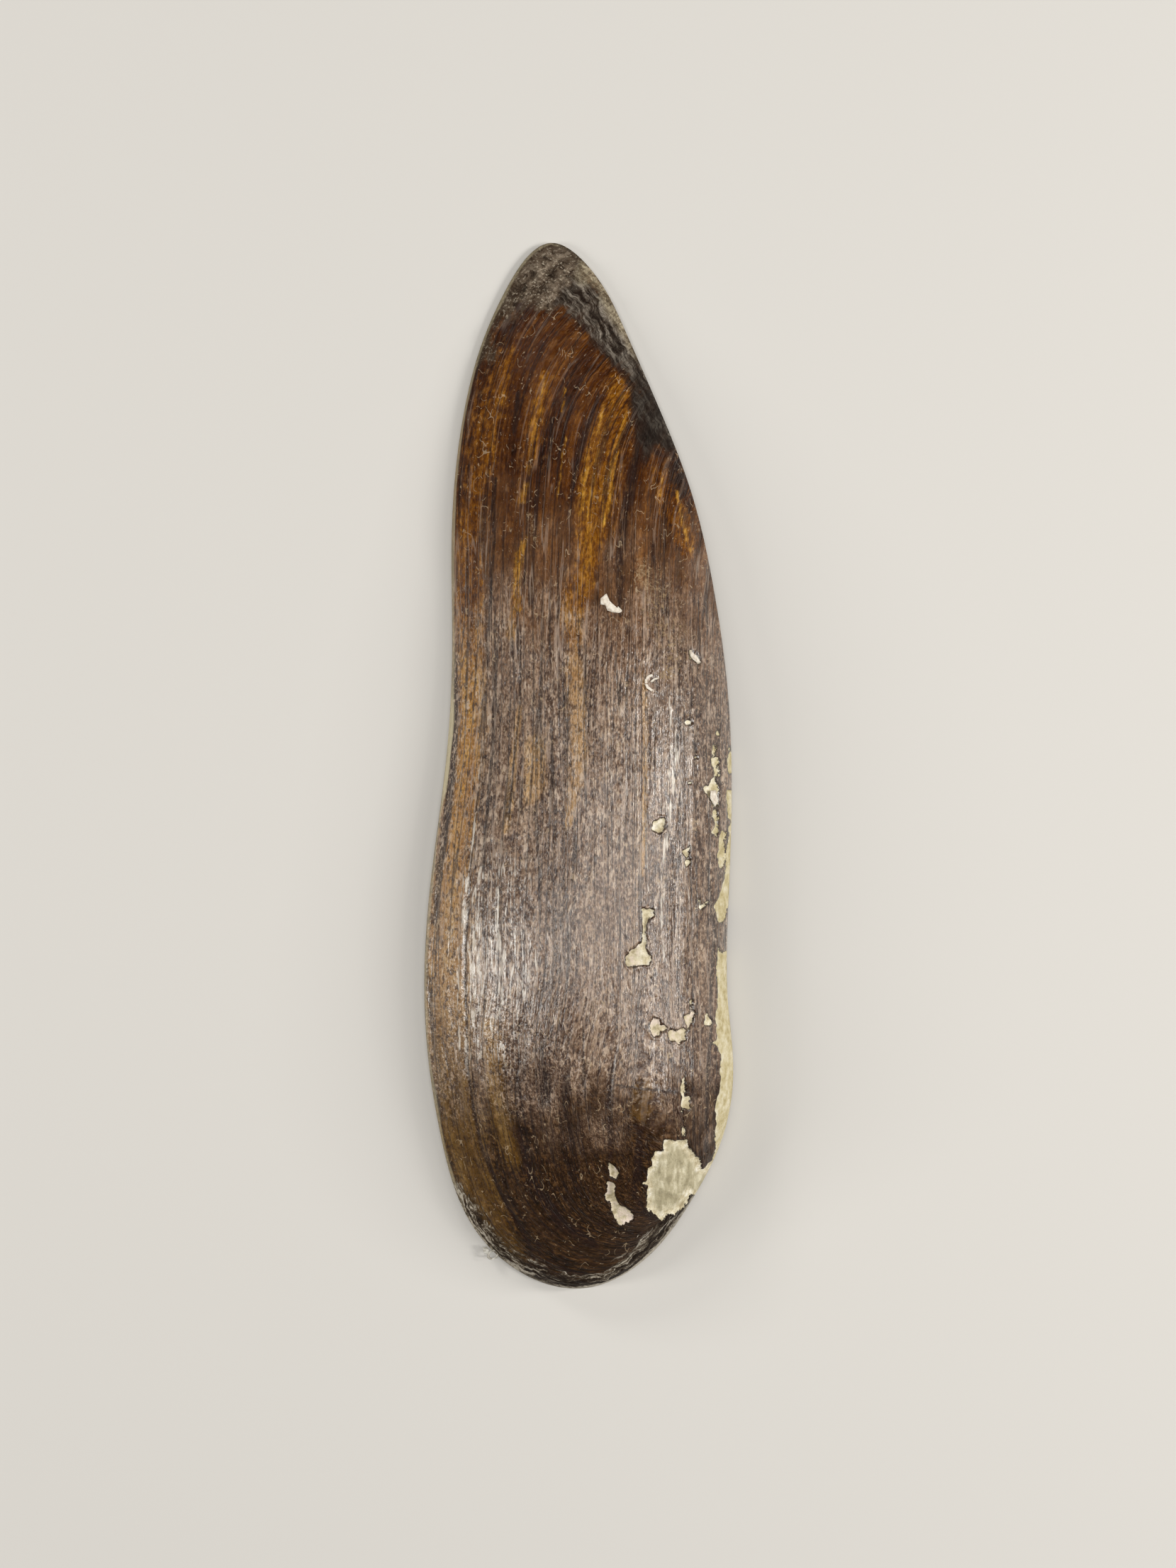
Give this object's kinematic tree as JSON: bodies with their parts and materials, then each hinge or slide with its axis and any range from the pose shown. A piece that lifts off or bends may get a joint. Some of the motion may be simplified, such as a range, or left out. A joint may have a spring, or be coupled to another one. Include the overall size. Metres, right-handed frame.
{
  "type": "freshwater mussel shell",
  "caption": "One valve of a long river mussel shell: a thin vaulted wall with a hollow underside, a flat rim to rest on, a wider hinge plate and a worn beak.",
  "frame": {"origin": "under the middle of the valve's bounding box, in the plane of the rim that it rests on", "axes": "+Y towards the tapered rear end, +X towards the hinge side, +Z out of the vaulted outer face"},
  "size_m": [0.037, 0.1249, 0.0126],
  "materials": {
    "shell_skin": "brown horny skin with golden rays and a satin sheen, worn to cream chalk at the beak and along the hinge",
    "chalk": "dull cream chalky flakes of bare shell",
    "dried_film": "thin pale curl of dried skin and lint"
  },
  "bodies": {
    "root": {"shell_valve": "shell_skin"}
  },
  "joints": []
}
